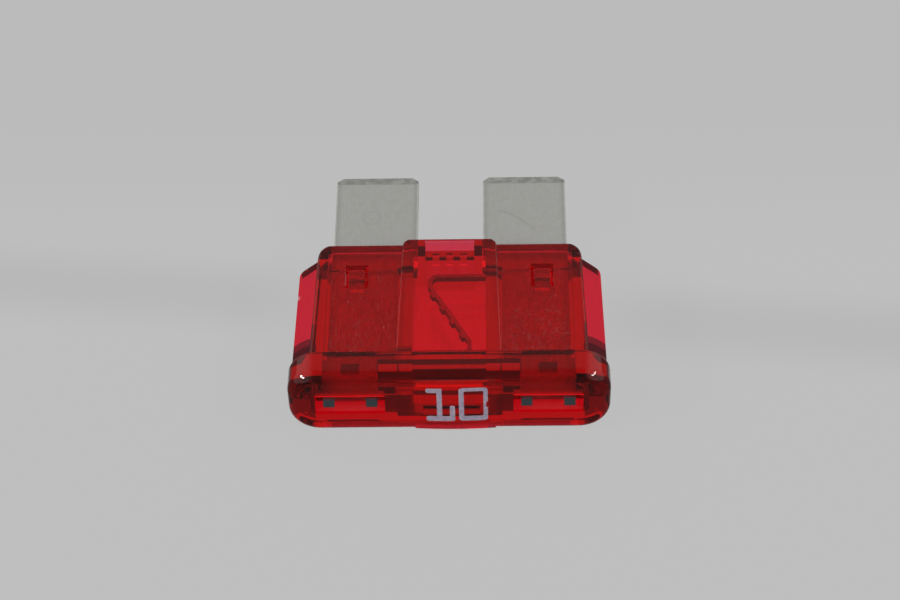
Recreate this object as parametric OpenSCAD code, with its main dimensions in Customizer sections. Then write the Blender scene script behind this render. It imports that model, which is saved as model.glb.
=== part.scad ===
// Automotive blade fuse, lying flat on one wide face.
// A clear red moulded housing holds one stamped zinc element.
// X runs across the blades, Y runs towards the blade tips, Z is up.

/* [Zinc element] */
// Length of the fuse, from the number pad to the blade tips
fuse_len = 18.7; // [18:0.1:20]
// Width across the outer edges of the two blades
blade_span = 14.5; // [14.3:0.1:14.7]
// Width of one blade where it plugs in
blade_w = 5.2; // [4.8:0.1:5.2]
// Thickness of the zinc sheet
sheet_t = 0.65; // [0.5:0.05:0.8]
// Cut across each corner of a blade tip
tip_cut = 0.4; // [0.2:0.1:0.8]
// Length of the bevel coined into each face of a tip
tip_bevel_len = 0.7; // [0.3:0.1:1.2]
// Depth of the tip bevel in each face
tip_bevel = 0.14; // [0.05:0.01:0.2]
// Bevel along the long edges of a blade
edge_bevel = 0.09; // [0.04:0.01:0.15]
// Width of the shank that each blade narrows to inside the housing
shank_w = 4.05; // [3.6:0.05:4.4]
// Length of the shank
shank_len = 7.65; // [7.4:0.05:7.8]
// Step of the test tab out past the blade's outer edge
tab_step = 0.2; // [0.1:0.05:0.3]
// Width of the test tab in the head
tab_w = 3.2; // [2.9:0.1:3.4]
// Length of the solid part of the test tab
tab_len = 1.15; // [1:0.05:1.4]
// Width of each ear of the test tab
ear_w = 0.66; // [0.5:0.02:0.8]
// Length of each ear
ear_len = 1.1; // [0.8:0.05:1.2]
// Depth of the ears' ends behind the head's end face
ear_recess = 0.12; // [0.05:0.01:0.2]
// Size of the small slot through the test tab, across the fuse
tab_slot_w = 1.1; // [0.6:0.1:1.4]
// Size of that slot along the fuse
tab_slot_len = 0.55; // [0.3:0.05:0.7]
// Side of the square recess that is coined into each face of a shank for its stake
stake_recess_w = 1; // [0.9:0.05:1.1]
// Depth of that recess
stake_recess = 0.12; // [0.06:0.02:0.18]
// Distance from the shank's far end to the middle of the recess
stake_inset = 1.45; // [1.2:0.05:1.8]
// Distance from the blade's outer edge to the middle of the recess
stake_side = 1.6; // [1.4:0.05:2.4]

/* [Fuse link] */
// Width of the link's strip
link_w = 0.24; // [0.2:0.02:0.3]
// Thickness of the link, which is coined thinner than the sheet
link_t = 0.4; // [0.3:0.05:0.45]
// Distance between the link's two runs
link_rise = 6.2; // [5.8:0.1:6.4]
// Distance from the shanks' far end to the link's far run
link_inset = 0.3; // [0.28:0.01:0.4]
// Reach of the link to each side of the middle
link_reach = 1.2; // [1:0.02:1.4]
// Straight stretch beside each turn
link_straight = 0.4; // [0.2:0.05:0.6]
// Radius of each turn, at the middle of the strip
link_turn_r = 0.5; // [0.4:0.05:0.6]
// Radius where the runs meet the shanks
link_root_r = 0.45; // [0.3:0.05:0.6]
// Number of teeth along the sloping stretch
tooth_count = 4; // [3:1:4]
// Distance from tooth to tooth
tooth_pitch = 1.25; // [1:0.05:1.35]
// Length of one tooth
tooth_len = 0.42; // [0.2:0.02:0.5]
// Height of one tooth
tooth_h = 0.16; // [0.08:0.02:0.2]

/* [Head] */
// Width of the head
head_w = 19.1; // [18.9:0.1:19.6]
// Thickness of the head
head_t = 5.1; // [4.9:0.1:5.4]
// Distance from the number pad to the head's far face
head_len = 2.2; // [2:0.1:2.6]
// Radius of the head's four long corners
head_corner_r = 1.9; // [1.5:0.1:2.1]
// Rounding round the end face
head_near_r = 0.7; // [0.4:0.05:0.9]
// Rounding round the head's far face
head_far_r = 0.25; // [0.1:0.05:0.4]
// Width of the crowned number pad
pad_w = 4.8; // [4.2:0.1:5.4]
// Height of the number pad
pad_h = 4.4; // [3.7:0.1:4.5]
// Sideways shift of the number pad
pad_shift = 0.35; // [0:0.05:0.5]
// Height of the number pad's crown
pad_rise = 0.09; // [0.05:0.01:0.15]
// Margin of a test window beside the test tab
window_side = 0.46; // [0.3:0.02:0.56]
// Margin of a test window over and under the test tab
window_lip = 0.45; // [0.3:0.05:0.6]
// Depth of the test windows
window_depth = 1; // [0.8:0.05:1.2]

/* [Body] */
// Distance from the number pad to the far end of the side panels
body_end = 11.35; // [11:0.05:11.8]
// Width of the side panels at the head
body_w_near = 16.6; // [16.4:0.1:17]
// Width of the side panels at their far end
body_w_far = 16.1; // [16:0.05:16.3]
// Thickness of the side panels
body_t = 3.75; // [3.5:0.05:4]
// Rounding of the side panels' far corners, seen from above
body_corner_r = 1.2; // [0.5:0.05:1.3]
// Rounding along the side panels' edges
body_edge_r = 0.22; // [0.1:0.02:0.3]
// Distance that the centre panel stands out past the side panels
panel_out = 0.1; // [0.05:0.05:0.3]
// Width of the centre panel at the head
panel_w_near = 6.3; // [6:0.1:6.6]
// Width of the centre panel at its far end
panel_w_far = 5.75; // [5.4:0.05:5.9]
// Thickness of the centre panel
panel_t = 4.45; // [4.2:0.05:4.8]
// Rounding of the centre panel's far corners, seen from above
panel_corner_r = 0.7; // [0.3:0.05:0.8]
// Rounding along the centre panel's edges
panel_edge_r = 0.14; // [0.06:0.02:0.2]
// Width across the side flanges at the head
flange_w_near = 18.75; // [18.6:0.05:19]
// Width across the side flanges at their shoulders
flange_w_far = 18.45; // [18:0.05:18.55]
// Thickness of the side flanges
flange_t = 1.1; // [0.8:0.05:1.3]
// Distance from the body's far end to the top of the flanges' shoulders
flange_back = 0.1; // [0.1:0.05:1]
// Slope of the flanges' shoulders, in degrees
flange_slope = 42; // [38:1:50]
// Rounding of the flanges' shoulders
flange_r = 0.9; // [0.6:0.05:1.1]

/* [Inside of the housing] */
// Clearance over and under the zinc sheet
face_clear = 0.05; // [0.02:0.01:0.08]
// Clearance beside the zinc sheet
side_clear = 0.06; // [0.03:0.01:0.1]
// Width of the cavity round the fuse link
cavity_w = 4.4; // [4.2:0.1:4.6]
// Height of the cavity
cavity_t = 2.76; // [2.4:0.02:3]
// Space between the cavity's near wall and the link's near run
cavity_near_gap = 0.85; // [0.4:0.05:0.9]
// Space between the cavity's far wall and the shanks' far end
cavity_far_gap = 0.24; // [0.1:0.01:0.26]
// Width of the notch in the far end
notch_w = 3; // [2.6:0.1:3.4]
// Depth of the notch in the far end
notch_depth = 0.65; // [0.5:0.05:0.8]
// Reach of the wall behind the notch into the cavity
bulge_depth = 0.35; // [0.25:0.01:0.36]
// Distance that the lips over and under the notch stand out past the centre panel
lip_out = 0.16; // [0.05:0.01:0.2]
// Rounding of the lips' tips
lip_r = 0.4; // [0.25:0.01:0.4]
// Number of pinch marks in the wall behind the notch
pinch_count = 3; // [2:1:3]
// Distance from pinch mark to pinch mark
pinch_pitch = 0.85; // [0.7:0.05:0.95]
// Width of one pinch mark
pinch_w = 0.42; // [0.3:0.02:0.5]
// Height of one pinch mark
pinch_h = 1.2; // [0.8:0.1:1.6]
// Depth of one pinch mark
pinch_depth = 0.18; // [0.1:0.02:0.24]
// Depth of the relief over and under each shank
relief_depth = 0.2; // [0.1:0.02:0.3]
// Bearing strip left beside a relief
relief_margin = 0.5; // [0.3:0.05:0.7]
// Bearing strip left between a relief and the shank's far end
relief_back = 0.25; // [0.1:0.05:0.4]
// Width of a staking pit at the surface
pit_w = 1.4; // [1.2:0.05:1.5]
// Length of a staking pit at the surface
pit_len = 1.85; // [1.5:0.05:2]
// Depth of a staking pit
pit_depth = 0.2; // [0.1:0.05:0.5]
// Run of a staking pit's sloping walls, on each side of its floor
pit_slope_w = 0.2; // [0.1:0.05:0.3]
// Clearance round and under a stake in its recess
stake_clear = 0.04; // [0.02:0.01:0.05]

/* [Hidden] */
$fn = 64;

// Small overlap that joins solids
weld = 0.02;
// Length past a face for a clean cut
past = 1;
mid_z = head_t / 2;
slot_t = sheet_t + 2 * face_clear;

// Places along the fuse
head_face_y = pad_rise;
ear_end_y = head_face_y + ear_recess;
tab_near_y = ear_end_y + ear_len;
shank_near_y = tab_near_y + tab_len;
shank_far_y = shank_near_y + shank_len;
stake_y = shank_far_y - stake_inset;
link_far_y = shank_far_y - link_inset;
link_mid_y = link_far_y - link_rise / 2;
window_end_y = head_face_y + window_depth;
cavity_near_y = link_far_y - link_rise - cavity_near_gap;
cavity_far_y = shank_far_y + cavity_far_gap;
bulge_y = cavity_far_y - bulge_depth;
slot_near_y = shank_near_y - side_clear;
panel_end = body_end + panel_out;
notch_y = panel_end - notch_depth;

// Places across the fuse
blade_out_x = blade_span / 2;
blade_in_x = blade_out_x - blade_w;
shank_in_x = blade_out_x - shank_w;
stake_x = blade_out_x - stake_side;
tab_out_x = blade_out_x + tab_step;
tab_in_x = tab_out_x - tab_w;
tab_x = tab_out_x - tab_w / 2;
slot_half_w = tab_out_x + side_clear;

// A bar along Y with a rounded section
module rounded_bar(w, t, r, y0, y1) {
    translate([0, y1, 0]) rotate([90, 0, 0]) linear_extrude(y1 - y0) {
        square([w - 2 * r, t], center = true);
        square([w, t - 2 * r], center = true);
        for (sx = [-1, 1], sz = [-1, 1])
            translate([sx * (w / 2 - r), sz * (t / 2 - r)]) circle(r);
    }
}

// Outline from the middle of a rim outwards, rounded at both of its ends
module rim_outline(half_w, len, near_r, far_r) {
    translate([0, near_r]) square([half_w, len - near_r - far_r]);
    square([half_w - near_r, len]);
    translate([0, len - far_r]) square([half_w - far_r, far_r]);
    translate([half_w - near_r, near_r]) circle(near_r);
    translate([half_w - far_r, len - far_r]) circle(far_r);
}

// A box with round corners along Y, and with both of its end rims rounded
module rimmed_block(w, t, len, corner_r, near_r, far_r) {
    for (sx = [-1, 1], sz = [-1, 1])
        translate([sx * (w / 2 - corner_r), 0, sz * (t / 2 - corner_r)])
            rotate([-90, 0, 0]) rotate_extrude() rim_outline(corner_r, len, near_r, far_r);
    for (side = [0, 1])
        mirror([side, 0, 0]) linear_extrude(t - 2 * corner_r, center = true)
            rim_outline(w / 2, len, near_r, far_r);
    for (side = [0, 1])
        mirror([0, 0, side]) rotate([0, -90, 0]) linear_extrude(w - 2 * corner_r, center = true)
            rim_outline(t / 2, len, near_r, far_r);
}

// Plan that cuts round far corners, and is wide of the drafted sides elsewhere
module far_corner_plan(w_near, w_far, y0, y1, r) {
    draft = atan((w_near - w_far) / 2 / (y1 - y0));
    corner = [w_far / 2 + r * tan(draft) - r / cos(draft), y1 - r];
    touch = corner + r * [cos(draft), sin(draft)];
    for (side = [0, 1]) mirror([side, 0]) {
        polygon([
            [0, y0], [w_near, y0], [w_near, touch[1]], touch,
            corner, [corner[0], y1], [0, y1]
        ]);
        translate(corner) circle(r);
    }
}

// A slab along Y with drafted sides, round far corners and rounded edges
module drafted_slab(w_near, w_far, t, y0, y1, corner_r, edge_r) {
    draft = atan((w_near - w_far) / 2 / (y1 - y0));
    intersection() {
        translate([w_near / 2, y0, 0]) rotate([0, 0, draft]) translate([-w_near, 0, 0])
            rounded_bar(2 * w_near, t, edge_r, -past, y1 - y0 + past);
        translate([-w_near / 2, y0, 0]) rotate([0, 0, -draft]) translate([w_near, 0, 0])
            rounded_bar(2 * w_near, t, edge_r, -past, y1 - y0 + past);
        linear_extrude(t + past, center = true) far_corner_plan(w_near, w_far, y0, y1, corner_r);
        translate([0, (y0 - past + y1) / 2, 0]) rotate([0, 0, 90])
            rounded_bar(y1 - y0 + past, t, edge_r, -w_near, w_near);
    }
}

// Head with its rounded rims
module head_block() {
    translate([0, head_face_y, 0])
        rimmed_block(head_w, head_t, head_len - head_face_y, head_corner_r, head_near_r, head_far_r);
}

// Crowned pad for the rating number, on the end face
module number_pad() {
    crown_r = (pow(pad_w / 2, 2) + pow(pad_rise, 2)) / (2 * pad_rise);
    translate([pad_shift, 0, 0]) intersection() {
        translate([0, crown_r, 0]) cylinder(h = pad_h, r = crown_r, center = true, $fn = 200);
        translate([-pad_w / 2, -weld, -pad_h / 2]) cube([pad_w, head_near_r, pad_h]);
    }
}

// Thin flange along each side, with a sloping round shoulder
module side_flanges() {
    y0 = head_len - weld;
    top = [body_w_far / 2, body_end - flange_back];
    draft = atan((flange_w_near - flange_w_far) / 2 / (top[1] - y0));
    side_n = [cos(draft), sin(draft)];
    slope_n = [sin(flange_slope), cos(flange_slope)];
    side_d = side_n * [flange_w_near / 2, y0] - flange_r;
    slope_d = slope_n * top - flange_r;
    turn = draft + flange_slope;
    corner = [side_d * cos(flange_slope) - slope_d * sin(draft),
              slope_d * cos(draft) - side_d * sin(flange_slope)] / cos(turn);
    for (side = [0, 1])
        mirror([side, 0, 0]) linear_extrude(flange_t, center = true) {
            polygon([[0, y0], [flange_w_near / 2, y0], corner + flange_r * side_n,
                     corner, corner + flange_r * slope_n, top, [0, top[1]]]);
            translate(corner) circle(flange_r);
        }
}

// Cavity round the fuse link
module link_cavity() {
    translate([-cavity_w / 2, cavity_near_y, -cavity_t / 2])
        cube([cavity_w, cavity_far_y - cavity_near_y, cavity_t]);
}

// Part of the far wall that was pushed into the cavity when it was pinched
module pinched_bulge() {
    translate([-notch_w / 2, bulge_y, -cavity_t / 2 - weld])
        cube([notch_w, cavity_far_y - bulge_y + weld, cavity_t + 2 * weld]);
}

// Slot that takes the zinc sheet, closed between the blades at the far end
module sheet_slot() {
    translate([-slot_half_w, slot_near_y, -slot_t / 2])
        cube([2 * slot_half_w, cavity_far_y - slot_near_y, slot_t]);
    for (side = [0, 1]) mirror([side, 0, 0])
        translate([blade_in_x - side_clear, slot_near_y + past, -slot_t / 2])
            cube([slot_half_w - blade_in_x + side_clear, body_end - slot_near_y, slot_t]);
}

// Relief over and under a shank
module shank_relief() {
    inner_x = shank_in_x + weld;
    outer_x = blade_out_x - relief_margin;
    far_y = shank_far_y - relief_back;
    translate([inner_x, cavity_near_y, -slot_t / 2 - relief_depth])
        cube([outer_x - inner_x, far_y - cavity_near_y, slot_t + 2 * relief_depth]);
}

// Test window in the end wall, and the passage of the test tab behind it
module test_window() {
    window_w = tab_w + 2 * window_side;
    window_t = sheet_t + 2 * window_lip;
    passage_w = tab_w + 2 * side_clear;
    translate([tab_x - window_w / 2, -past, -window_t / 2])
        cube([window_w, window_end_y + past, window_t]);
    translate([tab_x - passage_w / 2, 0, -slot_t / 2])
        cube([passage_w, slot_near_y + weld, slot_t]);
}

// Section of a staking pit, on its side, with its mouth carried on past the surface
module pit_section(mouth_w) {
    flare = pit_slope_w / pit_depth;
    mouth = mouth_w / 2 + flare * weld;
    floor_half = mouth_w / 2 - pit_slope_w;
    polygon([[-weld, -mouth], [-weld, mouth], [pit_depth, floor_half], [pit_depth, -floor_half]]);
}

// Shallow pit with four sloping walls
module staking_pit() {
    translate([stake_x, stake_y, body_t / 2]) intersection() {
        rotate([90, 90, 0]) linear_extrude(2 * pit_len, center = true) pit_section(pit_w);
        rotate([0, 90, 0]) linear_extrude(2 * pit_w, center = true) pit_section(pit_len);
    }
}

// Stake that the plastic under a pit forms in the sheet's recess
module stake() {
    stake_w = stake_recess_w - 2 * stake_clear;
    bottom_z = sheet_t / 2 - stake_recess + stake_clear;
    top_z = slot_t / 2 + relief_depth + weld;
    translate([stake_x - stake_w / 2, stake_y - stake_w / 2, bottom_z])
        cube([stake_w, stake_w, top_z - bottom_z]);
}

// Cut through the far end, with the pinch marks at its bottom
module end_notch() {
    translate([-notch_w / 2, notch_y, -panel_t / 2 - past])
        cube([notch_w, notch_depth + past, panel_t + 2 * past]);
    for (i = [0 : pinch_count - 1])
        translate([(i - (pinch_count - 1) / 2) * pinch_pitch, notch_y, 0])
            cube([pinch_w, 2 * pinch_depth, pinch_h], center = true);
}

// Lip over the notch, with a round tip
module end_lip() {
    lip_t = (panel_t - cavity_t) / 2;
    lip_len = notch_depth + lip_out + weld;
    translate([0, notch_y - weld, (cavity_t + lip_t) / 2]) rotate([0, 0, 90])
        intersection() {
            rounded_bar(2 * lip_len, lip_t, lip_r, -notch_w / 2 - weld, notch_w / 2 + weld);
            translate([0, -notch_w, -lip_t]) cube([2 * lip_len, 2 * notch_w, 2 * lip_t]);
        }
}

// The two sides of the fuse are mirror images, and so are its two faces
module each_side() {
    for (side = [0, 1]) mirror([side, 0, 0]) children();
}
module each_face() {
    for (face = [0, 1]) mirror([0, 0, face]) children();
}

module housing_form() {
    head_block();
    number_pad();
    drafted_slab(body_w_near, body_w_far, body_t, head_len - head_far_r - weld, body_end,
                 body_corner_r, body_edge_r);
    drafted_slab(panel_w_near, panel_w_far, panel_t, head_len - head_far_r - weld, panel_end,
                 panel_corner_r, panel_edge_r);
    side_flanges();
}

module housing() {
    color([0.78, 0.05, 0.06, 0.6]) translate([0, -fuse_len / 2, mid_z]) {
        difference() {
            housing_form();
            link_cavity();
            sheet_slot();
            each_side() shank_relief();
            each_side() test_window();
            each_side() each_face() staking_pit();
            end_notch();
        }
        pinched_bulge();
        each_face() end_lip();
        each_side() each_face() stake();
    }
}

// Plan of one blade with its shank, test tab and ears
module blade_plan() {
    difference() {
        polygon([
            [blade_in_x, shank_far_y], [blade_in_x, fuse_len - tip_cut],
            [blade_in_x + tip_cut, fuse_len], [blade_out_x - tip_cut, fuse_len],
            [blade_out_x, fuse_len - tip_cut], [blade_out_x, shank_near_y],
            [tab_out_x, shank_near_y], [tab_out_x, ear_end_y],
            [tab_out_x - ear_w, ear_end_y], [tab_out_x - ear_w, tab_near_y],
            [tab_in_x + ear_w, tab_near_y], [tab_in_x + ear_w, ear_end_y],
            [tab_in_x, ear_end_y], [tab_in_x, shank_near_y],
            [shank_in_x, shank_near_y], [shank_in_x, shank_far_y]
        ]);
        translate([tab_x, tab_near_y + tab_len / 2])
            square([tab_slot_w, tab_slot_len], center = true);
    }
}

// Sloping stretch of the link, with a bend and a straight piece at each end
module link_slope() {
    turn_y = link_rise / 2 - link_turn_r;
    bend = [-link_reach, turn_y - link_straight];
    across = [-bend[1], bend[0]] / norm(bend);
    outer_x = -link_reach - link_w / 2;
    inner_x = -link_reach + link_w / 2;
    outer = [outer_x, (link_w / 2 - outer_x * across[0]) / across[1]];
    inner = [inner_x, (-link_w / 2 - inner_x * across[0]) / across[1]];
    polygon([
        [outer_x, turn_y], outer, -inner, [-inner_x, -turn_y],
        [-outer_x, -turn_y], -outer, inner, [inner_x, turn_y]
    ]);
}

// One turn of the link, its run across to a shank, and the root there
module link_run() {
    run_y = link_rise / 2;
    turn = [link_turn_r - link_reach, run_y - link_turn_r];
    translate(turn) intersection() {
        difference() {
            circle(link_turn_r + link_w / 2);
            circle(link_turn_r - link_w / 2);
        }
        translate([-past, 0]) square(past);
    }
    translate([turn[0], run_y - link_w / 2])
        square([shank_in_x + link_w / 2 - turn[0], link_w]);
    translate([shank_in_x + weld, run_y - link_w / 2 + weld]) difference() {
        translate([-link_root_r, -link_root_r]) square(link_root_r);
        translate([-link_root_r, -link_root_r]) circle(link_root_r);
    }
}

// Teeth on the lower edge of the sloping stretch
module link_teeth() {
    slope = atan2(link_rise / 2 - link_turn_r - link_straight, -link_reach);
    rotate(slope) for (i = [0 : tooth_count - 1])
        translate([(i - (tooth_count - 1) / 2) * tooth_pitch - tooth_len / 2, link_w / 2 - weld])
            square([tooth_len, tooth_h + weld]);
}

module link_plan() {
    link_slope();
    link_run();
    rotate(180) link_run();
    link_teeth();
}

// Bevel coined into the top of a blade's tip
module tip_cutter() {
    translate([blade_in_x - past, fuse_len - tip_bevel_len, sheet_t / 2])
        rotate([-atan(tip_bevel / tip_bevel_len), 0, 0])
            cube([blade_w + 2 * past, tip_bevel_len + past, past]);
}

// Bevels along the top of a blade's two long edges
module edge_cutter() {
    for (x = [blade_in_x, blade_out_x])
        translate([x, fuse_len + past, sheet_t / 2]) rotate([90, 0, 0])
            linear_extrude(fuse_len + past - body_end) circle(edge_bevel, $fn = 4);
}

// Recess coined into the top of a shank for its stake
module stake_cutter() {
    translate([stake_x - stake_recess_w / 2, stake_y - stake_recess_w / 2, sheet_t / 2 - stake_recess])
        cube([stake_recess_w, stake_recess_w, past]);
}

module fuse_element() {
    color([0.72, 0.72, 0.7]) translate([0, -fuse_len / 2, mid_z]) {
        difference() {
            each_side() linear_extrude(sheet_t, center = true) blade_plan();
            each_side() each_face() tip_cutter();
            each_side() each_face() edge_cutter();
            each_side() each_face() stake_cutter();
        }
        translate([0, link_mid_y, 0]) linear_extrude(link_t, center = true) link_plan();
    }
}

housing();
fuse_element();
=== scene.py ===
"""Automotive blade fuse: a clear red housing round a stamped zinc element, lying on a pale table."""
from math import cos, radians, sin

import bpy
from mathutils import Matrix, Vector


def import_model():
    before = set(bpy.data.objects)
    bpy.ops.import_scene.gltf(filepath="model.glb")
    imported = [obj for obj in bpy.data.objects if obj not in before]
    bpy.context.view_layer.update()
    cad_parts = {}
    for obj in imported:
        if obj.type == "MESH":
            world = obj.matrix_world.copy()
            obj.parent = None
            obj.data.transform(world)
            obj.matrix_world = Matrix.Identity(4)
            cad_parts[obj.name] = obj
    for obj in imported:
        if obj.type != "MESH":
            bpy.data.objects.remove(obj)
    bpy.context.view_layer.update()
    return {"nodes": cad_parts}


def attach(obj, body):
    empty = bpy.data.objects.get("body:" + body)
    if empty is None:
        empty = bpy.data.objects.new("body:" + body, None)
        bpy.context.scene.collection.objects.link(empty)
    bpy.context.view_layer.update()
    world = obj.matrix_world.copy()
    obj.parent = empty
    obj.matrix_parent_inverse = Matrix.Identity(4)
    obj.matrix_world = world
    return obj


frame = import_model()
scene = bpy.context.scene
mm = 0.001

# Sizes that the dressing shares with the construction, in metres
fuse_len = 18.7 * mm
near_y = -fuse_len / 2
head_len = 2.2 * mm
head_far_y = near_y + head_len
mid_z = 2.55 * mm
blade_x = 4.65 * mm
flange_x = 8 * mm
pad_shift = 0.35 * mm
pad_w = 4.8 * mm
pad_rise = 0.09 * mm
crown_r = ((pad_w / 2) ** 2 + pad_rise ** 2) / (2 * pad_rise)

# Skin of ink, from just outside the crowned pad to under it
ink_above = 0.0015 * mm
ink_below = 0.015 * mm

# Strokes of the printed number: left, right, bottom, top and corner radius, in millimetres
one_stem = (-0.73, -0.42, 1.3, 4.08, 0.04)
one_flag = (-1.36, -0.45, 3.68, 4.08, 0.15)
one_base = (-1.36, 0.34, 1.1, 1.56, 0.16)
one_hook = (0.03, 0.34, 1.12, 2.52, 0.12)
nought_outside = (0.57, 2.28, 1.13, 4.13, 0.24)
nought_inside = (0.87, 2.02, 1.56, 3.82, 0.08)
nought_worn_off = (2.18, 2.5, 2.3, 2.84, 0.1)

# Colours
plastic_depth = (0.969, 0.015, 0.25, 1)
# Painted shade: a dark tint for the places where the clear plastic looks dark
plastic_painted_shade = (0.1, 0.18, 0.2, 1)
zinc_darker = (0.71, 0.71, 0.67, 1)
zinc_paler = (0.79, 0.79, 0.76, 1)
zinc_worn = (0.2, 0.2, 0.17, 1)
zinc_sheared = (0.2, 0.24, 0.26, 1)
ink_darker = (0.36, 0.3, 0.4, 1)
ink_paler = (0.47, 0.41, 0.5, 1)
table_grey = (0.5, 0.5, 0.5, 1)
white = (1, 1, 1, 1)

# Brightness of the surround, where 1 is white
backdrop_level = 0.52
pale_level = 0.58
dome_level = 0.55
inner_level = 1.15
inner_dim_level = 0.15
gloss_level = 0.1
behind_level = 0.2
side_level = 0.5
dim_level = 0.1

# The photograph's line of sight, and that line mirrored by a level face
sight = (0, 0.67, -0.74)
mirrored_sight = (0, 0.67, 0.74)


# Helpers for node trees

def add_node(tree, kind, inputs=None, **options):
    """A node with its options. An input that is given a socket is linked, and any other is set."""
    node = tree.nodes.new(kind)
    for name, value in options.items():
        setattr(node, name, value)
    for name, value in (inputs or {}).items():
        if isinstance(value, bpy.types.NodeSocket):
            tree.links.new(value, node.inputs[name])
        else:
            node.inputs[name].default_value = value
    return node


def calc(tree, operation, first, second=0.0):
    """The result of a Math node."""
    return add_node(tree, "ShaderNodeMath", {0: first, 1: second}, operation=operation).outputs[0]


def product(tree, *factors):
    """Several numbers multiplied."""
    result = factors[0]
    for factor in factors[1:]:
        result = calc(tree, "MULTIPLY", result, factor)
    return result


def largest(tree, *values):
    """The largest of several numbers."""
    result = values[0]
    for value in values[1:]:
        result = calc(tree, "MAXIMUM", result, value)
    return result


def spread(tree, value, low, high, bottom=0.0, top=1.0):
    """A value brought from the range low to high into the range bottom to top, smoothly."""
    return add_node(tree, "ShaderNodeMapRange", {
        "Value": value, "From Min": low, "From Max": high, "To Min": bottom, "To Max": top,
    }, interpolation_type="SMOOTHSTEP").outputs["Result"]


def after(tree, value, start, edge):
    """0 up to a start, then rising to 1 over a soft edge."""
    return spread(tree, value, start, start + edge)


def before(tree, value, end, edge):
    """1 up to an end, then falling to 0 over a soft edge."""
    return spread(tree, value, end, end + edge, 1.0, 0.0)


def away_from(tree, value, middle):
    """How far a value is from a middle, to either side."""
    return calc(tree, "ABSOLUTE", calc(tree, "SUBTRACT", value, middle))


def within(tree, value, middle, half, edge):
    """1 up to half a width from a middle, then falling to 0 over a soft edge."""
    return before(tree, away_from(tree, value, middle), half, edge)


def blend_value(tree, factor, first, second):
    """Two numbers mixed by a factor."""
    return add_node(tree, "ShaderNodeMix", {"Factor": factor, "A": first, "B": second}).outputs[0]


def blend_colour(tree, factor, first, second):
    """Two colours mixed by a factor."""
    mix = add_node(tree, "ShaderNodeMixRGB", {"Fac": factor, "Color1": first, "Color2": second})
    return mix.outputs["Color"]


def noise(tree, place, size, detail=2.0, stretch=(1, 1, 1)):
    """Noise with spots of a size in metres, stretched by a factor along each axis."""
    scaled = add_node(tree, "ShaderNodeMapping", {
        "Vector": place, "Scale": [1 / (size * factor) for factor in stretch],
    })
    return add_node(tree, "ShaderNodeTexNoise", {
        "Vector": scaled.outputs["Vector"], "Scale": 1.0, "Detail": detail,
    }).outputs["Fac"]


def object_place(tree):
    """The place on the object, in metres."""
    return add_node(tree, "ShaderNodeTexCoord").outputs["Object"]


def coordinates(tree, vector):
    """A vector's three parts, by the names X, Y and Z."""
    return add_node(tree, "ShaderNodeSeparateXYZ", {"Vector": vector}).outputs


def distance(tree, place, point):
    """How far a place is from a point."""
    return add_node(tree, "ShaderNodeVectorMath", {0: place, 1: point},
                    operation="DISTANCE").outputs["Value"]


def towards(tree, direction, aim):
    """How far a direction turns towards an aim: 1 where they agree."""
    return add_node(tree, "ShaderNodeVectorMath", {0: direction, 1: aim},
                    operation="DOT_PRODUCT").outputs["Value"]


def new_material(name):
    """A material with an empty node tree."""
    material = bpy.data.materials.new(name)
    material.use_nodes = True
    material.node_tree.nodes.clear()
    return material, material.node_tree


# Marks on the housing

def dust(tree, place):
    """1 on the dust specks on the side panels, which lie thickest beside the head."""
    panel_rise, panel_x, panel_half = 1.7 * mm, 5.1 * mm, 2 * mm
    thick_y, thin_y, thick_share, thin_share = -7 * mm, -1 * mm, 0.5, 0.04
    cell_size, speck_core, speck_edge = 0.13 * mm, 0.12, 0.14
    spot = coordinates(tree, place)
    across = calc(tree, "ABSOLUTE", spot["X"])
    outside = after(tree, away_from(tree, spot["Z"], mid_z), panel_rise, 0.1 * mm)
    panels = within(tree, across, panel_x, panel_half, 0.2 * mm)
    beyond_head = after(tree, spot["Y"], thick_y - 0.1 * mm, 0.1 * mm)
    share = spread(tree, spot["Y"], thick_y, thin_y, thick_share, thin_share)
    cells = add_node(tree, "ShaderNodeTexVoronoi", {"Vector": place, "Scale": 1 / cell_size})
    chance = add_node(tree, "ShaderNodeSeparateColor", {"Color": cells.outputs["Color"]}).outputs["Red"]
    specks = before(tree, cells.outputs["Distance"], speck_core, speck_edge)
    return product(tree, outside, panels, beyond_head, specks, calc(tree, "LESS_THAN", chance, share))


def chip(tree, place):
    """1 on the small ragged chip in the left flange's upper edge."""
    middle, size = (-9.3 * mm, -1.2 * mm, 3.1 * mm), 0.28 * mm
    raggedness = calc(tree, "MULTIPLY", noise(tree, place, 0.12 * mm), 0.3 * mm)
    return before(tree, calc(tree, "ADD", distance(tree, place, middle), raggedness), size, 0.08 * mm)


def flange_roots(tree, spot):
    """1 on the flanges next to the head, up to a curved line."""
    line_y, line_bend = -4.5 * mm, 400.0
    off_side = calc(tree, "SUBTRACT", calc(tree, "ABSOLUTE", spot["X"]), flange_x)
    line = calc(tree, "ADD", spot["Y"], product(tree, off_side, off_side, line_bend))
    return product(tree, before(tree, line, line_y, 0.1 * mm),
                   after(tree, spot["Y"], head_far_y - 0.05 * mm, 0.05 * mm),
                   after(tree, off_side, 0.0, 0.1 * mm))


def panel_corners(tree, spot, upper):
    """1 on the far outer corners of the side panels."""
    corner_x, corner_half, corner_y = 7.7 * mm, 0.4 * mm, 0.75 * mm
    across = calc(tree, "ABSOLUTE", spot["X"])
    return product(tree, upper, within(tree, across, corner_x, corner_half, 0.1 * mm),
                   after(tree, spot["Y"], corner_y, 0.2 * mm))


def head_foot(tree, spot, upper):
    """1 on the foot of the head behind the blades."""
    foot_x, foot_half_x, foot_y, foot_half_y = 5.85 * mm, 1.5 * mm, -7.41 * mm, 0.16 * mm
    across = calc(tree, "ABSOLUTE", spot["X"])
    return product(tree, upper, within(tree, across, foot_x, foot_half_x, 0.1 * mm),
                   within(tree, spot["Y"], foot_y, foot_half_y, 0.06 * mm))


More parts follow.
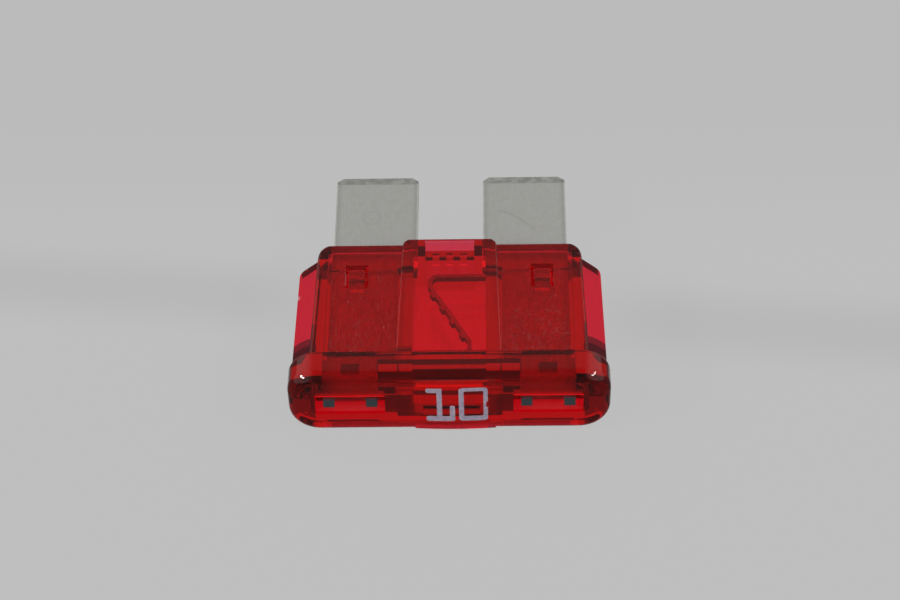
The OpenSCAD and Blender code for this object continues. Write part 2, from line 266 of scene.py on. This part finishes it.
def relief_ends(tree, spot):
    """1 on the end walls of the relief over the blades."""
    relief_y, relief_half_y, wall_half = -3.04 * mm, 3.55 * mm, 0.04 * mm
    relief_half_x, relief_half_z = 2.7 * mm, 0.56 * mm
    across = calc(tree, "ABSOLUTE", spot["X"])
    off_relief = away_from(tree, spot["Y"], relief_y)
    return product(tree, within(tree, off_relief, relief_half_y, wall_half, 0.03 * mm),
                   within(tree, spot["Z"], mid_z, relief_half_z, 0.01 * mm),
                   within(tree, across, blade_x, relief_half_x, 0.1 * mm))


def painted_shade_places(tree, spot):
    """1 where shade is painted on the moulding: at the flange roots, the ends of the relief, the far panel
    corners and the foot of the head.
    """
    upper = after(tree, away_from(tree, spot["Z"], mid_z), 1.6 * mm, 0.1 * mm)
    return largest(tree, flange_roots(tree, spot), relief_ends(tree, spot),
                   panel_corners(tree, spot, upper), head_foot(tree, spot, upper))


def slot_walls(tree, spot):
    """1 along the slot that holds the element."""
    slot_half_z, slot_in_x, slot_out_x = 0.65 * mm, 1.9 * mm, 7.8 * mm
    across = calc(tree, "ABSOLUTE", spot["X"])
    return product(tree, within(tree, spot["Z"], mid_z, slot_half_z, 0.05 * mm),
                   after(tree, across, slot_in_x, 0.2 * mm), before(tree, across, slot_out_x, 0.2 * mm))


def window_walls(tree, spot):
    """1 in the recesses of the test windows."""
    window_y, window_half_y, window_half_z = -8.6 * mm, 0.4 * mm, 1.5 * mm
    window_in_x, window_out_x = 2.3 * mm, 7.8 * mm
    across = calc(tree, "ABSOLUTE", spot["X"])
    return product(tree, within(tree, spot["Z"], mid_z, window_half_z, 0.2 * mm),
                   within(tree, spot["Y"], window_y, window_half_y, 0.1 * mm),
                   after(tree, across, window_in_x, 0.3 * mm),
                   before(tree, across, window_out_x, 0.2 * mm))


# Marks on the element

def scratch(tree, place):
    """1 along the curved scratch across the right blade's upper face."""
    start_x, start_y, slope, bend = 2.89 * mm, 6.26 * mm, 0.15, 240.0
    middle_x, reach_x, half_width = 4.15 * mm, 1.1 * mm, 0.02 * mm
    spot = coordinates(tree, place)
    along = calc(tree, "SUBTRACT", spot["X"], start_x)
    drop = calc(tree, "ADD", calc(tree, "MULTIPLY", along, slope), product(tree, along, along, bend))
    line = within(tree, calc(tree, "ADD", spot["Y"], drop), start_y, half_width, 0.11 * mm)
    reach = within(tree, spot["X"], middle_x, reach_x, 0.2 * mm)
    return product(tree, line, reach, after(tree, spot["Z"], mid_z, 0.1 * mm))


def stain(tree, place):
    """1 along the faint ring on the left blade."""
    middle, radius, half_width = (-4.98 * mm, 5.74 * mm, 0), 0.55 * mm, 0.02 * mm
    flat = add_node(tree, "ShaderNodeVectorMath", {0: place, 1: (1, 1, 0)}, operation="MULTIPLY")
    return within(tree, distance(tree, flat.outputs["Vector"], middle), radius, half_width, 0.14 * mm)


# Materials

def red_plastic():
    """Clear red moulded plastic with its colour in its depth: glossy outside, dull in slot and windows,
    and with painted shade darkening it at the flange roots, relief ends, far panel corners and head foot.
    """
    ripple_size, flow_size, flow_stretch, flow_height = 1.4 * mm, 0.12 * mm, (1, 14, 1), 0.12
    bump_height, dull_roughness = 0.006 * mm, 0.25
    dust_share, chip_share, window_share = 0.2, 0.3, 0.03
    material, tree = new_material("clear_red_plastic")
    place = object_place(tree)
    spot = coordinates(tree, place)
    ripple = noise(tree, place, ripple_size, 1.0)
    flow = noise(tree, place, flow_size, 2.0, flow_stretch)
    height = calc(tree, "ADD", ripple, calc(tree, "MULTIPLY", flow, flow_height))
    bump = add_node(tree, "ShaderNodeBump", {"Height": height, "Strength": 0.5, "Distance": bump_height})
    windows = window_walls(tree, spot)
    marks = largest(tree, product(tree, dust(tree, place), dust_share),
                    product(tree, chip(tree, place), chip_share), product(tree, windows, window_share))
    smooth = spread(tree, flow, 0.3, 0.8, 0.01, 0.05)
    dull = largest(tree, slot_walls(tree, spot), windows)
    streaks = spread(tree, flow, 0.35, 0.65, 0.94, 1.0)
    clear = add_node(tree, "ShaderNodeCombineColor", {"Red": streaks, "Green": streaks, "Blue": streaks})
    shader = add_node(tree, "ShaderNodeBsdfPrincipled", {
        # Painted shade: the base colour is darkened at the flange roots, relief ends, far panel corners
        # and head foot
        "Base Color": blend_colour(tree, painted_shade_places(tree, spot), clear.outputs["Color"], plastic_painted_shade),
        "IOR": 1.58,
        "Transmission Weight": calc(tree, "SUBTRACT", 1.0, marks),
        "Roughness": blend_value(tree, dull, smooth, dull_roughness),
        "Normal": bump.outputs["Normal"],
    })
    depth = add_node(tree, "ShaderNodeVolumeAbsorption", {"Color": plastic_depth, "Density": 3300.0})
    add_node(tree, "ShaderNodeOutputMaterial", {
        "Surface": shader.outputs["BSDF"], "Volume": depth.outputs["Volume"],
    })
    return material


def rolled_zinc():
    """Dull grey zinc sheet: fine grain along the blades, dark tips and edges, and darker sheared ears."""
    tip_y, ear_y, edge_half, edge_fade = 8.55 * mm, -8.6 * mm, 2.15 * mm, 0.35 * mm
    tip_share, edge_share, scratch_share, stain_share = 0.35, 0.16, 0.15, 0.12
    grain_size, grain_stretch, grain_height, cloud_size = 0.09 * mm, (1, 12, 1), 0.008 * mm, 0.5 * mm
    material, tree = new_material("rolled_zinc")
    place = object_place(tree)
    spot = coordinates(tree, place)
    grain = noise(tree, place, grain_size, 3.0, grain_stretch)
    cloud = noise(tree, place, cloud_size, 3.0)
    tone = calc(tree, "ADD", calc(tree, "MULTIPLY", grain, 0.5), calc(tree, "MULTIPLY", cloud, 0.5))
    bump = add_node(tree, "ShaderNodeBump", {"Height": grain, "Strength": 0.4, "Distance": grain_height})
    clean = blend_colour(tree, spread(tree, tone, 0.35, 0.65), zinc_darker, zinc_paler)
    patchy = spread(tree, cloud, 0.35, 0.65)
    tips = product(tree, after(tree, spot["Y"], tip_y, 0.25 * mm), patchy, tip_share)
    off_middle = away_from(tree, calc(tree, "ABSOLUTE", spot["X"]), blade_x)
    edges = product(tree, after(tree, off_middle, edge_half, edge_fade), edge_share)
    lines = calc(tree, "ADD", product(tree, scratch(tree, place), scratch_share),
                 product(tree, stain(tree, place), patchy, stain_share))
    worn = calc(tree, "ADD", lines, calc(tree, "ADD", tips, edges))
    rolled = blend_colour(tree, worn, clean, zinc_worn)
    ears = before(tree, spot["Y"], ear_y, 0.4 * mm)
    shader = add_node(tree, "ShaderNodeBsdfPrincipled", {
        "Metallic": 1.0,
        "Base Color": blend_colour(tree, ears, rolled, zinc_sheared),
        "Roughness": spread(tree, tone, 0.3, 0.7, 0.68, 0.62),
        "Normal": bump.outputs["Normal"],
    })
    add_node(tree, "ShaderNodeOutputMaterial", {"Surface": shader.outputs["BSDF"]})
    return material


def printed_ink():
    """Pale lilac-grey printing ink, a little uneven."""
    material, tree = new_material("pale_ink")
    mottle = noise(tree, object_place(tree), 0.25 * mm, 3.0)
    shader = add_node(tree, "ShaderNodeBsdfPrincipled", {
        "Base Color": blend_colour(tree, spread(tree, mottle, 0.35, 0.65), ink_darker, ink_paler),
        "Roughness": 0.5,
    })
    add_node(tree, "ShaderNodeOutputMaterial", {"Surface": shader.outputs["BSDF"]})
    return material


def table_glow(tree):
    """The table's own brightness: a soft darker band across it, and a slight fall-off far away."""
    band_y, band_half, band_edge, band_lean = 0.6 * mm, 0.2 * mm, 4 * mm, 0.095
    band_share, far_share = 0.08, 0.05
    spot = coordinates(tree, object_place(tree))
    leaning = calc(tree, "ADD", spot["Y"], calc(tree, "MULTIPLY", spot["X"], band_lean))
    band = within(tree, leaning, band_y, band_half, band_edge)
    beside = spread(tree, calc(tree, "ABSOLUTE", spot["X"]), 6 * mm, 14 * mm)
    far = spread(tree, spot["Y"], 5 * mm, 20 * mm)
    drop = calc(tree, "ADD", product(tree, band, beside, band_share), product(tree, far, far_share))
    return calc(tree, "MULTIPLY", calc(tree, "SUBTRACT", 1.0, drop), backdrop_level)


def table_finish():
    """Pale satin table, lit mostly from below. Light through the plastic or off a gloss goes on to the
    surround."""
    material, tree = new_material("pale_table")
    glow_share = 0.93
    path = add_node(tree, "ShaderNodeLightPath")
    satin = add_node(tree, "ShaderNodeBsdfPrincipled", {"Base Color": table_grey, "Roughness": 0.3})
    glow = add_node(tree, "ShaderNodeEmission", {"Color": white, "Strength": table_glow(tree)})
    clear = add_node(tree, "ShaderNodeBsdfTransparent")
    seen = add_node(tree, "ShaderNodeMixShader", {
        0: calc(tree, "MULTIPLY", path.outputs["Is Camera Ray"], glow_share),
        1: satin.outputs["BSDF"], 2: glow.outputs["Emission"],
    })
    onward = largest(tree, path.outputs["Is Transmission Ray"], path.outputs["Is Glossy Ray"])
    either = add_node(tree, "ShaderNodeMixShader", {
        0: onward, 1: seen.outputs["Shader"], 2: clear.outputs["BSDF"],
    })
    add_node(tree, "ShaderNodeOutputMaterial", {"Surface": either.outputs["Shader"]})
    return material


# Printed number

def stroke(left, right, bottom, top, corner):
    """A block through the number pad's face, with round corners as seen from the front."""
    middle = ((left + right) / 2 * mm, near_y, (bottom + top) / 2 * mm)
    bpy.ops.object.select_all(action="DESELECT")
    bpy.ops.mesh.primitive_cube_add(size=1, location=middle,
                                    scale=((right - left) * mm, 2 * mm, (top - bottom) * mm))
    bpy.ops.object.transform_apply(location=True, rotation=True, scale=True)
    block = bpy.context.object
    rounding = block.modifiers.new("rounding", "BEVEL")
    rounding.width = corner * mm
    rounding.segments = 6
    rounding.limit_method = "NONE"
    bpy.ops.object.modifier_apply(modifier=rounding.name)
    return block


def crown(radius):
    """A tall cylinder with the number pad's axis."""
    bpy.ops.object.select_all(action="DESELECT")
    bpy.ops.mesh.primitive_cylinder_add(vertices=1024, radius=radius, depth=10 * mm,
                                        location=(pad_shift, near_y + crown_r, mid_z))
    bpy.ops.object.transform_apply(location=True, rotation=True, scale=True)
    return bpy.context.object


def cut(target, operation, tool):
    """The target joined with, cut by or kept within a tool, which is then removed."""
    change = target.modifiers.new("change", "BOOLEAN")
    change.operation = operation
    change.solver = "EXACT"
    change.object = tool
    bpy.ops.object.select_all(action="DESELECT")
    bpy.context.view_layer.objects.active = target
    bpy.ops.object.modifier_apply(modifier=change.name)
    bpy.data.objects.remove(tool, do_unlink=True)


def digit_one():
    """The number's first digit: a stem, a flag and a base with a hook."""
    digit = stroke(*one_stem)
    for part in (one_flag, one_base, one_hook):
        cut(digit, "UNION", stroke(*part))
    return digit


def digit_nought():
    """The number's second digit, worn at its right edge."""
    digit = stroke(*nought_outside)
    for part in (nought_inside, nought_worn_off):
        cut(digit, "DIFFERENCE", stroke(*part))
    return digit


def printed_number():
    """The rating number, as a thin skin on the crowned pad."""
    ink = printed_ink()
    for name, digit in (("number_first_digit", digit_one()), ("number_second_digit", digit_nought())):
        cut(digit, "INTERSECT", crown(crown_r + ink_above))
        cut(digit, "DIFFERENCE", crown(crown_r - ink_below))
        digit.name = name
        digit.data.materials.clear()
        digit.data.materials.append(ink)
        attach(digit, "root")


# Stage

def table():
    """The surface that the fuse lies on."""
    bpy.ops.object.select_all(action="DESELECT")
    bpy.ops.mesh.primitive_plane_add(size=3, location=(0, 0, 0))
    top = bpy.context.object
    top.name = "table"
    top.data.materials.append(table_finish())


def dome_light(tree, path, direction, inside):
    """The upper half's brightness: dark in a gloss apart from its sides, as in a studio with small
    lamps, and bright ahead for light from inside the plastic, which the lamps don't reach."""
    ahead = towards(tree, direction, mirrored_sight)
    aside = calc(tree, "ABSOLUTE", coordinates(tree, direction)["X"])
    gloss = spread(tree, ahead, 0.8, 0.97, gloss_level, behind_level)
    gloss = blend_value(tree, spread(tree, aside, 0.25, 0.6), gloss, side_level)
    inner = spread(tree, ahead, 0.3, 0.95, inner_dim_level, inner_level)
    outer = blend_value(tree, path["Is Glossy Ray"], dome_level, gloss)
    return blend_value(tree, inside, outer, inner)


def ground_light(tree, path, direction, inside):
    """The lower half's brightness: pale, but for light that a reflection turned, pale only ahead."""
    pale_from = blend_value(tree, inside, 0.75, 0.3)
    pale_to = blend_value(tree, inside, 0.98, 0.8)
    ahead = spread(tree, towards(tree, direction, sight), pale_from, pale_to, dim_level, pale_level)
    turned = calc(tree, "GREATER_THAN", path["Glossy Depth"], 0.5)
    return blend_value(tree, turned, pale_level, ahead)


def surround():
    """World light: a soft dome over a pale ground, with a plain backdrop for the camera."""
    world = bpy.data.worlds.new("studio")
    scene.world = world
    world.use_nodes = True
    tree = world.node_tree
    tree.nodes.clear()
    path = add_node(tree, "ShaderNodeLightPath").outputs
    direction = add_node(tree, "ShaderNodeTexCoord").outputs["Generated"]
    inside = calc(tree, "GREATER_THAN", path["Transmission Depth"], 0.5)
    dome = dome_light(tree, path, direction, inside)
    ground = ground_light(tree, path, direction, inside)
    above = spread(tree, coordinates(tree, direction)["Z"], -0.05, 0.05)
    level = blend_value(tree, above, ground, dome)
    seen = blend_value(tree, path["Is Camera Ray"], level, backdrop_level)
    back = add_node(tree, "ShaderNodeBackground", {"Color": white, "Strength": seen})
    add_node(tree, "ShaderNodeOutputWorld", {"Surface": back.outputs["Background"]})


def strip_lamp(name, place, length, power):
    """A narrow strip lamp beside the fuse, along it and aimed at it."""
    lamp = bpy.data.lights.new(name, "AREA")
    lamp.shape = "RECTANGLE"
    lamp.size = length
    lamp.size_y = 0.05
    lamp.energy = power
    holder = bpy.data.objects.new(name, lamp)
    scene.collection.objects.link(holder)
    holder.location = place
    holder.rotation_euler = (-Vector(place)).to_track_quat("-Z", "Y").to_euler()


def camera():
    """The photograph's viewpoint, found from the edges of the fuse."""
    azimuth, elevation, roll = radians(-1.716), radians(48.077), radians(-1.832)
    distance_back = 147.813 * mm
    target = Vector((-0.003, -0.949, 2.5)) * mm
    ahead = Vector((sin(azimuth) * cos(elevation), cos(azimuth) * cos(elevation), -sin(elevation)))
    turn = (Matrix.Rotation(-azimuth, 4, "Z") @ Matrix.Rotation(radians(90) - elevation, 4, "X")
            @ Matrix.Rotation(roll, 4, "Z"))
    data = bpy.data.cameras.new("camera")
    data.sensor_width = 36
    data.lens = 96.53
    data.clip_start = 0.01
    holder = bpy.data.objects.new("camera", data)
    scene.collection.objects.link(holder)
    holder.matrix_world = Matrix.Translation(target - distance_back * ahead) @ turn
    scene.camera = holder


camera()
table()
surround()
strip_lamp("left_lamp", (-0.42, -0.11, 0.26), 0.3, 1.2)
strip_lamp("right_lamp", (0.4, -0.08, 0.3), 0.5, 1.1)

for node, finish in (("housing", red_plastic()), ("fuse_element", rolled_zinc())):
    for slot in frame["nodes"][node].material_slots:
        slot.material = finish
printed_number()

# Light crosses many walls of the clear housing
scene.cycles.max_bounces = 32
scene.cycles.glossy_bounces = 16
scene.cycles.transmission_bounces = 32
scene.cycles.transparent_max_bounces = 32

scene.view_settings.view_transform = "Standard"
